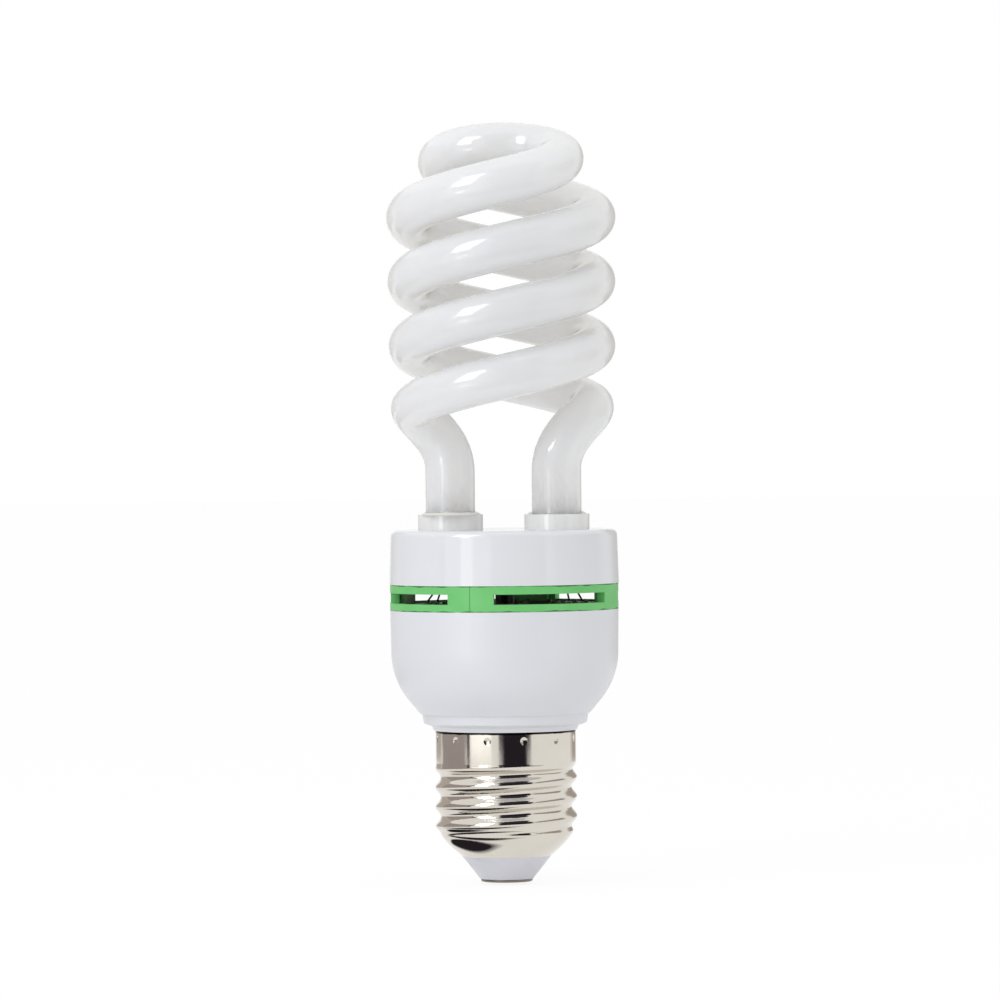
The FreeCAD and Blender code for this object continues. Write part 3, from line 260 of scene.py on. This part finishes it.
# Paints part of a finish in another tone with a ragged limit: above a height, or at both edges of a band
def paintAbove(material, look):
    tree = material.node_tree
    shader = next(node for node in tree.nodes if node.type == "BSDF_PRINCIPLED")
    place = addNode(tree, "TexCoord").outputs["Object"]
    ragged = addNode(tree, "TexNoise", {"Scale": 1000 / look["raggedMm"], "Detail": 3.0}, {"Vector": place})
    shift = addNode(tree, "MapRange", {"To Min": -look["playMm"] / 1000, "To Max": look["playMm"] / 1000},
                    {"Value": ragged.outputs["Fac"]})
    up = addNode(tree, "SeparateXYZ", links={"Vector": place})
    rise = addNode(tree, "Math", {1: look["middle"]}, {0: up.outputs["Z"]}, operation="SUBTRACT")
    if look["bothSides"]:
        rise = addNode(tree, "Math", links={0: rise.outputs["Value"]}, operation="ABSOLUTE")
    level = addNode(tree, "Math", links={0: rise.outputs["Value"], 1: shift.outputs["Result"]},
                    operation="ADD")
    fade = {"From Min": look["from"], "From Max": look["from"] + look["fadeMm"] / 1000}
    share = addNode(tree, "MapRange", fade, {"Value": level.outputs["Value"]})
    under = shader.inputs["Base Color"].links[0].from_socket
    tone = addNode(tree, "Mix", {"B": look["tone"]}, {"Factor": share.outputs["Result"], "A": under},
                   data_type="RGBA")
    tree.links.new(tone.outputs["Result"], shader.inputs["Base Color"])


# Cover: PBT, injection moulded and polished, a cool white with a clear gloss, its collars a warmer white
coverLook = {
    "colour": "#EFF0F3",
    "shade": "#EBECEF",
    "patchMm": 22,
    "glossMm": 6,
    "grainMm": 1.5,  # the mould's polishing marks, drawn coarser than they are so that they show
    "reliefMm": 0.002,
    "roughness": (0.07, 0.12),
    "shader": {"IOR": 1.52},
}
collarTone = {
    "tone": "#F4F4F2",
    "middle": 0.0,
    "from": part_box("tube_holder_cover")[1][2] - 0.0028,  # the collars stand 2.8 mm above the cover's face
    "bothSides": False,
    "raggedMm": 2,
    "playMm": 0.0,
    "fadeMm": 0.1,
}
coverPlastic = layFinish("PBT, injection moulded and polished", coverLook)
paintAbove(coverPlastic, collarTone)
dress("tube_holder_cover", coverPlastic)

# Lower housing: PBT, injection moulded in a finely blasted mould, the same white with a half gloss
housingLook = {
    "colour": "#EEEFF3",
    "shade": "#E9EAEE",
    "patchMm": 22,
    "glossMm": 6,
    "grainMm": 1.2,  # the blasted grain, drawn coarser than it is so that it shows
    "reliefMm": 0.003,
    "roughness": (0.3, 0.38),
    "shader": {"IOR": 1.52},
}
dress("lower_housing", layFinish("PBT, injection moulded white", housingLook))

# Vent ring: polypropylene, injection moulded green, waxy, with flow marks, and painted shade as a dark
# uneven line at its top and bottom edges
ringLook = {
    "colour": "#84D986",
    "shade": "#6CC870",
    "patchMm": 5,
    "glossMm": 2.5,
    "grainMm": 0.8,
    "reliefMm": 0.02,
    "roughness": (0.3, 0.42),
    "shader": {"IOR": 1.49, "Specular IOR Level": 0.25},
}
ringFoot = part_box("lower_housing")[1][2]
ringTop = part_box("vent_ring")[1][2]
# Painted shade: a ragged dark green line just inside the ring's top and bottom edges, for the shade in the
# gaps against cover and housing
jointShade = {
    "tone": "#3A7A3E",
    "middle": (ringFoot + ringTop) / 2,
    "from": (ringTop - ringFoot) / 2 - 0.0002,  # 0.2 mm inside the ring's edges
    "bothSides": True,
    "raggedMm": 3,
    "playMm": 0.45,
    "fadeMm": 0.12,
}
ringPlastic = layFinish("polypropylene, injection moulded green", ringLook)
paintAbove(ringPlastic, jointShade)
dress("vent_ring", ringPlastic)

# Base insulator: urea thermoset, pressed, a slightly violet white with a dull shine
insulatorLook = {
    "colour": "#ECECF2",
    "shade": "#E5E5EB",
    "patchMm": 4,
    "glossMm": 3,
    "grainMm": 0.6,
    "reliefMm": 0.008,
    "roughness": (0.3, 0.4),
    "shader": {"IOR": 1.5},
}
dress("base_insulator", layFinish("urea thermoset, pressed", insulatorLook))
print("plastics dressed")

# Screw shell: nickel plated brass, drawn, rolled and bright: a warm mirror with a fine upright draw grain
shellLook = {
    "colour": "#DED9D0",
    "shade": "#D1CBC0",
    "patchMm": 6,
    "drawMm": 0.35,  # the draw lines, drawn coarser than they are so that they show
    "drawStretch": 0.25,
    "dentMm": 5,
    "dentShare": 0.6,
    "reliefMm": 0.005,
    "roughness": (0.06, 0.1),
    "shader": {"Metallic": 1.0},
}
# Painted shade: the shell's top edge is painted near black for the shade in the gap under the housing
shellGapShade = {
    "tone": "#15110F",
    "middle": 0.0,
    "from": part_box("screw_shell")[1][2] - 0.00048,  # the top half millimetre of the shell, painted dark as the shade in the gap under the housing
    "bothSides": False,
    "raggedMm": 2.5,
    "playMm": 0.22,
    "fadeMm": 0.12,
}


def platedShell(look):
    material, tree, place = newMaterial("nickel plated brass, rolled bright")
    stain = addNode(tree, "TexNoise", {"Scale": 1000 / look["patchMm"], "Detail": 4.0}, {"Vector": place})
    tall = addNode(tree, "Mapping", {"Scale": (1.0, 1.0, look["drawStretch"])}, {"Vector": place})
    draw = addNode(tree, "TexNoise", {"Scale": 1000 / look["drawMm"], "Detail": 2.0},
                   {"Vector": tall.outputs["Vector"]})
    dent = addNode(tree, "TexNoise", {"Scale": 1000 / look["dentMm"], "Detail": 1.0}, {"Vector": place})
    height = addNode(tree, "Mix", {"Factor": look["dentShare"]},
                     {"A": draw.outputs["Fac"], "B": dent.outputs["Fac"]})
    closeSurface(tree, look, stain.outputs["Fac"], draw.outputs["Fac"], height.outputs["Result"])
    return material


nickel = platedShell(shellLook)
paintAbove(nickel, shellGapShade)
dress("screw_shell", nickel)

# Centre contact: tinned brass, pressed, a satin grey that has dulled
contactLook = {
    "colour": "#8E8982",
    "shade": "#76706A",
    "patchMm": 1.5,
    "glossMm": 1.0,
    "grainMm": 0.25,
    "reliefMm": 0.01,
    "roughness": (0.25, 0.4),
    "shader": {"Metallic": 1.0},
}
dress("centre_contact", layFinish("tinned brass, pressed", contactLook))
print("cap dressed")

# Inner parts, seen only through the slots. The note beside each says what the eye sees.
innerLooks = {
    "tube_cement": ("gypsum cement, poured", {  # chalky, off white
        "colour": "#EDEBE3", "shade": "#DAD6CB", "patchMm": 1.5, "glossMm": 1.0, "grainMm": 0.3,
        "reliefMm": 0.1, "roughness": (0.8, 0.95), "shader": {"IOR": 1.5}}),
    "circuit_board": ("phenolic paper laminate", {  # brown, a soft sheen
        "colour": "#7D5C33", "shade": "#684A28", "patchMm": 2.5, "glossMm": 1.5, "grainMm": 0.2,
        "reliefMm": 0.01, "roughness": (0.4, 0.6), "shader": {"IOR": 1.55}}),
    "solder_joints": ("tin solder, wave soldered", {  # bright blobs
        "colour": "#C9C9C8", "shade": "#A7A7A6", "patchMm": 0.6, "glossMm": 0.4, "grainMm": 0.2,
        "reliefMm": 0.02, "roughness": (0.2, 0.4), "shader": {"Metallic": 1.0}}),
    "component_leads": ("copper wire, tinned", {  # silver, a little dull
        "colour": "#BEBEBC", "shade": "#A09F9C", "patchMm": 1.0, "glossMm": 0.5, "grainMm": 0.15,
        "reliefMm": 0.005, "roughness": (0.25, 0.4), "shader": {"Metallic": 1.0}}),
    "filament_lead_wires": ("iron wire, heat darkened", {  # nearly black, a faint metal shine
        "colour": "#2E2B2A", "shade": "#1E1C1B", "patchMm": 1.0, "glossMm": 0.5, "grainMm": 0.15,
        "reliefMm": 0.005, "roughness": (0.45, 0.6), "shader": {"Metallic": 0.6}}),
    "electrolytic_capacitor": ("PVC sleeve, shrunk", {  # dark blue, smooth
        "colour": "#20283F", "shade": "#181E31", "patchMm": 4, "glossMm": 2, "grainMm": 0.4,
        "reliefMm": 0.02, "roughness": (0.25, 0.4), "shader": {"IOR": 1.53}}),
    "choke_core": ("ferrite, ground", {  # dark grey, stony
        "colour": "#3B3A3C", "shade": "#29282A", "patchMm": 1.2, "glossMm": 0.8, "grainMm": 0.15,
        "reliefMm": 0.01, "roughness": (0.55, 0.7), "shader": {"IOR": 2.0}}),
    "choke_bobbin": ("nylon, moulded black", {  # black, half matt
        "colour": "#1F1F20", "shade": "#171718", "patchMm": 3, "glossMm": 1.5, "grainMm": 0.3,
        "reliefMm": 0.01, "roughness": (0.4, 0.55), "shader": {"IOR": 1.53}}),
    "feedback_toroid": ("ferrite, tumbled", {  # dark grey, rounded and dull
        "colour": "#37373A", "shade": "#262628", "patchMm": 1.0, "glossMm": 0.7, "grainMm": 0.2,
        "reliefMm": 0.02, "roughness": (0.55, 0.7), "shader": {"IOR": 2.0}}),
    "power_transistors": ("epoxy, transfer moulded", {  # black, matt
        "colour": "#232324", "shade": "#19191A", "patchMm": 1.5, "glossMm": 1.0, "grainMm": 0.12,
        "reliefMm": 0.01, "roughness": (0.5, 0.65), "shader": {"IOR": 1.55}}),
    "rectifier_diodes": ("epoxy, moulded and deflashed", {  # black, a faint sheen
        "colour": "#272728", "shade": "#1B1B1C", "patchMm": 1.2, "glossMm": 0.8, "grainMm": 0.15,
        "reliefMm": 0.01, "roughness": (0.45, 0.6), "shader": {"IOR": 1.55}}),
    "trigger_diode": ("lacquer on glass, blue", {  # blue, glossy
        "colour": "#2F5E9E", "shade": "#274F86", "patchMm": 0.8, "glossMm": 0.5, "grainMm": 0.2,
        "reliefMm": 0.01, "roughness": (0.15, 0.25), "shader": {"IOR": 1.5}}),
    "resistors": ("lacquer, dipped beige", {  # beige, uneven gloss
        "colour": "#CDB48A", "shade": "#BCA276", "patchMm": 1.0, "glossMm": 0.6, "grainMm": 0.25,
        "reliefMm": 0.02, "roughness": (0.3, 0.45), "shader": {"IOR": 1.5}}),
    "film_capacitors": ("epoxy, dipped red", {  # dark red, glossy drops
        "colour": "#8E2A20", "shade": "#7A2019", "patchMm": 2.0, "glossMm": 1.0, "grainMm": 0.4,
        "reliefMm": 0.03, "roughness": (0.2, 0.35), "shader": {"IOR": 1.55}}),
    "ceramic_capacitor": ("phenolic, dipped blue", {  # blue, waxy
        "colour": "#2B6FA3", "shade": "#235E8C", "patchMm": 1.2, "glossMm": 0.8, "grainMm": 0.3,
        "reliefMm": 0.03, "roughness": (0.35, 0.5), "shader": {"IOR": 1.5}}),
    "filter_inductor": ("ferrite, lacquered", {  # black, half glossy
        "colour": "#2D2D30", "shade": "#202022", "patchMm": 1.0, "glossMm": 0.7, "grainMm": 0.2,
        "reliefMm": 0.01, "roughness": (0.35, 0.5), "shader": {"IOR": 1.8}}),
    "preheat_thermistor": ("epoxy, dipped black", {  # black, soft gloss
        "colour": "#1C1C1D", "shade": "#131314", "patchMm": 1.0, "glossMm": 0.6, "grainMm": 0.25,
        "reliefMm": 0.02, "roughness": (0.3, 0.45), "shader": {"IOR": 1.55}}),
    "fuse_resistor": ("cement body, dark grey", {  # dark grey, rough
        "colour": "#2C2B29", "shade": "#201F1E", "patchMm": 1.2, "glossMm": 0.8, "grainMm": 0.2,
        "reliefMm": 0.03, "roughness": (0.7, 0.85), "shader": {"IOR": 1.5}}),
    "supply_wires": ("PVC wire sleeve", {  # dark blue grey, soft
        "colour": "#20262E", "shade": "#181D24", "patchMm": 2.0, "glossMm": 1.0, "grainMm": 0.3,
        "reliefMm": 0.01, "roughness": (0.4, 0.55), "shader": {"IOR": 1.53}}),
}
for nodeName, (finishName, look) in innerLooks.items():
    dress(nodeName, layFinish(finishName, look))

# Windings: enamelled copper, wound wire beside wire; painted light and shade makes red brown bands one wire
# wide, with glints
windingLook = {
    "colour": "#A5582B",
    "shade": "#7E3F1C",
    "wireMm": 0.35,
    "glintMm": 0.6,
    "reliefMm": 0.08,
    "roughness": (0.2, 0.35),
    "shader": {"Metallic": 0.8},
}


def woundCopper(look):
    material, tree, place = newMaterial("copper wire, enamelled and wound")
    # A wave texture of scale 1 has 20 bands in a length of two pi
    wave = 2 * math.pi / 20 * 1000 / look["wireMm"]
    turns = addNode(tree, "TexWave", {"Scale": wave, "Distortion": 0.4}, {"Vector": place},
                    bands_direction="Z")
    glint = addNode(tree, "TexNoise", {"Scale": 1000 / look["glintMm"], "Detail": 2.0}, {"Vector": place})
    # The tone follows the bands: painted light and shade across each round wire
    closeSurface(tree, look, turns.outputs["Fac"], glint.outputs["Fac"], turns.outputs["Fac"])
    return material


windingCopper = woundCopper(windingLook)
dress("choke_winding", windingCopper)
dress("toroid_windings", windingCopper)
print("inner parts dressed")

# Floor and backdrop: pale paper. What the camera and reflections see of it is white with the bulb's shadow.
studioSet = {
    "floorHalfWidth": 6.0,
    "floorHeight": -0.0005,
    "paper": "#F2F2F2",
    "glow": 0.86,  # share of the paper's white that is its own, where it is seen directly
    "glowStrength": 1.04,
    "air": 0.76,  # light from all round
    "clear": 1.0,  # the backdrop where it is seen directly, 1 for white
}


# One where the camera, a reflection or a look through glass meets a surface,
# and nought for the light that it sheds on others
def seenDirectly(tree):
    path = addNode(tree, "LightPath").outputs
    seen = addNode(tree, "Math", links={0: path["Is Camera Ray"], 1: path["Is Glossy Ray"]},
                   operation="MAXIMUM")
    either = addNode(tree, "Math", links={0: seen.outputs["Value"], 1: path["Is Transmission Ray"]},
                     operation="MAXIMUM")
    return either.outputs["Value"]


def stageSheet(name, width, height, material):
    mesh = bpy.data.meshes.new(name)
    x, y = width / 2, height / 2
    mesh.from_pydata([(-x, -y, 0), (x, -y, 0), (x, y, 0), (-x, y, 0)], [], [(0, 1, 2, 3)])
    mesh.materials.append(material)
    sheet = bpy.data.objects.new(name, mesh)
    bpy.context.scene.collection.objects.link(sheet)
    return sheet


paper = bpy.data.materials.new("seamless paper, matt")
paper.use_nodes = True
tree = paper.node_tree
tree.nodes.clear()
share = addNode(tree, "Math", {1: studioSet["glow"]}, {0: seenDirectly(tree)}, operation="MULTIPLY")
matt = addNode(tree, "BsdfDiffuse", {"Color": studioSet["paper"]})
white = addNode(tree, "Emission", {"Color": "#FFFFFF", "Strength": studioSet["glowStrength"]})
both = addNode(tree, "MixShader", links={0: share.outputs["Value"], 1: matt.outputs["BSDF"],
                                         2: white.outputs["Emission"]})
addNode(tree, "OutputMaterial", links={"Surface": both.outputs["Shader"]})
floorSize = 2 * studioSet["floorHalfWidth"]
floor = stageSheet("floor", floorSize, floorSize, paper)
floor.location.z = studioSet["floorHeight"]

world = bpy.data.worlds.new("pale studio")
bpy.context.scene.world = world
world.use_nodes = True
world.cycles.sampling_method = "NONE"  # so that the dark cards also shade dull metal
tree = world.node_tree
tree.nodes.clear()
air = addNode(tree, "Background", {"Color": "#FFFFFF", "Strength": studioSet["air"]})
clear = addNode(tree, "Background", {"Color": "#FFFFFF", "Strength": studioSet["clear"]})
both = addNode(tree, "MixShader", links={0: seenDirectly(tree), 1: air.outputs["Background"],
                                         2: clear.outputs["Background"]})
addNode(tree, "OutputWorld", links={"Surface": both.outputs["Shader"]})

# Lights and cards stand round the bulb: azimuth from the front towards the right, and elevation, in degrees
aim = Vector((0, 0, 0.07))  # the middle of the bulb


def standAt(item, spot):
    azimuth = math.radians(spot["azimuth"])
    elevation = math.radians(spot["elevation"])
    away = Vector((math.sin(azimuth) * math.cos(elevation), -math.cos(azimuth) * math.cos(elevation),
                   math.sin(elevation)))
    item.location = aim + away * spot["distance"]
    item.rotation_euler = away.to_track_quat("Z", "Y").to_euler()


lightSet = {
    "key": {"azimuth": -40, "elevation": 34, "distance": 0.9, "width": 0.44, "height": 0.7, "watts": 1.9,
            "tint": "#F3F7FF"},
}
for lightName, spot in lightSet.items():
    data = bpy.data.lights.new(lightName, "AREA")
    data.shape = "RECTANGLE"
    data.size = spot["width"]
    data.size_y = spot["height"]
    data.energy = spot["watts"]
    data.color = linearColour(spot["tint"])[:3]
    light = bpy.data.objects.new(lightName, data)
    light.visible_glossy = False
    bpy.context.scene.collection.objects.link(light)
    standAt(light, spot)

# Cards that only reflections see: bright ones draw the highlights, dark ones the walls of the room.
# Soft is the part of each half side over which a card fades out. Flat ones lie on the floor at their place.
# The last two lie there as a bent strip with its middle, turn, length, width and bulge.
dark = {"glow": 0.03, "tint": "#DCCBEA"}
cardSet = {
    "soft box": {"azimuth": -44, "elevation": 34, "distance": 0.9, "width": 0.32, "height": 0.56,
                 "glow": 8.0},
    "ceiling lamp": {"azimuth": 8, "elevation": 76, "distance": 0.8, "width": 0.06, "height": 0.05,
                     "glow": 8.0},
    "strip": {"azimuth": -36, "elevation": -3.2, "distance": 0.40, "width": 0.105, "height": 0.034,
              "glow": 5.5},
    "low strip": {"azimuth": -40, "elevation": -8, "distance": 0.39, "width": 0.30, "height": 0.03,
                  "soft": (0.3, 0.3), "glow": 1.5},
    "cover strip": {"azimuth": -37, "elevation": 1.1, "distance": 0.40, "width": 0.085, "height": 0.035,
                    "soft": (0.1, 0.3), "glow": 2.6},
    "dark room": {"azimuth": 15, "elevation": 14, "distance": 0.42, "width": 0.48, "height": 0.42,
                  "soft": (0.16, 0.02), **dark},
    "dark ceiling": {"azimuth": 13, "elevation": 51, "distance": 0.42, "width": 0.36, "height": 0.24,
                     "soft": (0.2, 0.2), "glow": 0.06, "tint": "#DCCBEA"},
    "door": {"azimuth": -63, "elevation": 10, "distance": 0.41, "width": 0.045, "height": 0.34,
             "soft": (0.3, 0.02), "glow": 0.12, "tint": "#DCCBEA"},
    "left wall": {"azimuth": -96, "elevation": 10, "distance": 0.42, "width": 0.60, "height": 0.34,
                  "soft": (0.12, 0.02), "glow": 0.46, "tint": "#F2E6E6"},
    "right wall": {"azimuth": 80, "elevation": 14, "distance": 0.42, "width": 0.60, "height": 0.26,
                   "soft": (0.3, 0.3), "glow": 0.45, "tint": "#F2E8E0"},
    "back right": {"azimuth": 151, "elevation": 6, "distance": 0.42, "width": 0.34, "height": 0.34,
                   "soft": (0.6, 0.3), "glow": 0.5, "tint": "#F2E8E0"},
    "back left": {"azimuth": -145, "elevation": 6, "distance": 0.43, "width": 0.28, "height": 0.34,
                  "soft": (0.4, 0.1), "glow": 0.6, "tint": "#F2E8E0"},
    "dark floor": {"azimuth": 15, "elevation": -14.5, "distance": 0.30, "width": 0.32, "height": 0.36,
                   "soft": (0.2, 0.06), "flat": True, **dark},
    "left floor": {"azimuth": -98, "elevation": -16, "distance": 0.29, "width": 0.44, "height": 0.36,
                   "soft": (0.12, 0.06), "flat": True, "glow": 0.46, "tint": "#F2E6E6"},
    "dark dish": {"middle": (-0.00914, 0.00069), "turn": 122.8, "width": 0.034, "height": 0.024,
                  "soft": (0.25, 0), "arc": {"long": 0.030, "wide": 0.0078, "bulge": 0.0058}, **dark},
    "dark cable": {"middle": (-0.01145, -0.00066), "turn": 140.7, "width": 0.062, "height": 0.040,
                   "soft": (0.3, 0), "arc": {"long": 0.058, "wide": 0.0105, "bulge": 0.0125}, **dark},
}
cardFloor = {
    "height": -0.0002,
    "step": 0.00001,  # each card lies this much lower than the one before
    "soft": (0.02, 0.02),  # for a card that names no softness
}


# How much of a straight card is there: one inside and nought at its four edges
def straightShare(tree, card, place):
    softX, softY = card.get("soft", cardFloor["soft"])
    halves = {"Scale": (2 / card["width"], 2 / card["height"], 1.0)}
    spread = addNode(tree, "Mapping", halves, {"Vector": place})
    sides = addNode(tree, "VectorMath", links={0: spread.outputs["Vector"]}, operation="ABSOLUTE")
    along = addNode(tree, "SeparateXYZ", links={"Vector": sides.outputs["Vector"]})
    across = addNode(tree, "MapRange", {"From Min": 1.0, "From Max": 1.0 - softX},
                     {"Value": along.outputs["X"]})
    upright = addNode(tree, "MapRange", {"From Min": 1.0, "From Max": 1.0 - softY},
                      {"Value": along.outputs["Y"]})
    both = addNode(tree, "Math", links={0: across.outputs["Result"], 1: upright.outputs["Result"]},
                   operation="MULTIPLY")
    return both.outputs["Value"]


# The same for a bent strip: an oval whose middle line bulges to one side
def bentShare(tree, card, place):
    arc = card["arc"]
    spot = addNode(tree, "SeparateXYZ", links={"Vector": place})
    along = addNode(tree, "Math", {1: 2 / arc["long"]}, {0: spot.outputs["X"]}, operation="MULTIPLY")
    square = addNode(tree, "Math", {1: 2.0}, {0: along.outputs["Value"]}, operation="POWER")
    lift = addNode(tree, "Math", {1: -arc["bulge"], 2: arc["bulge"]}, {0: square.outputs["Value"]},
                   operation="MULTIPLY_ADD")
    aside = addNode(tree, "Math", links={0: spot.outputs["Y"], 1: lift.outputs["Value"]},
                    operation="SUBTRACT")
    across = addNode(tree, "Math", {1: 2 / arc["wide"]}, {0: aside.outputs["Value"]}, operation="MULTIPLY")
    bent = addNode(tree, "CombineXYZ", links={"X": along.outputs["Value"], "Y": across.outputs["Value"]})
    out = addNode(tree, "VectorMath", links={0: bent.outputs["Vector"]}, operation="LENGTH")
    inside = addNode(tree, "MapRange", {"From Min": 1.0, "From Max": 1.0 - card["soft"][0]},
                     {"Value": out.outputs["Value"]})
    return inside.outputs["Result"]


# A card glows inside and thins out to clear air at its edges
def cardSheen(name, card):
    sheen = bpy.data.materials.new(name + " card")
    sheen.use_nodes = True
    tree = sheen.node_tree
    tree.nodes.clear()
    place = addNode(tree, "TexCoord").outputs["Object"]
    share = bentShare(tree, card, place) if "arc" in card else straightShare(tree, card, place)
    shine = addNode(tree, "Emission", {"Color": card.get("tint", "#FFFFFF"), "Strength": card["glow"]})
    gone = addNode(tree, "BsdfTransparent")
    mixed = addNode(tree, "MixShader", links={0: share, 1: gone.outputs["BSDF"],
                                              2: shine.outputs["Emission"]})
    addNode(tree, "OutputMaterial", links={"Surface": mixed.outputs["Shader"]})
    return sheen


for number, (cardName, card) in enumerate(cardSet.items()):
    sheet = stageSheet(cardName, card["width"], card["height"], cardSheen(cardName, card))
    layer = cardFloor["height"] - number * cardFloor["step"]
    if "arc" in card:
        sheet.location = (*card["middle"], layer)
        sheet.rotation_euler = (0, 0, math.radians(card["turn"]))
    else:
        standAt(sheet, card)
    if card.get("flat"):
        sheet.location.z = layer
        sheet.rotation_euler = (0, 0, math.radians(card["azimuth"]))
    sheet.visible_camera = False
    sheet.visible_diffuse = False
    sheet.visible_shadow = False
    sheet.visible_transmission = False
print("studio lit")

bpy.context.scene.view_settings.view_transform = "Standard"
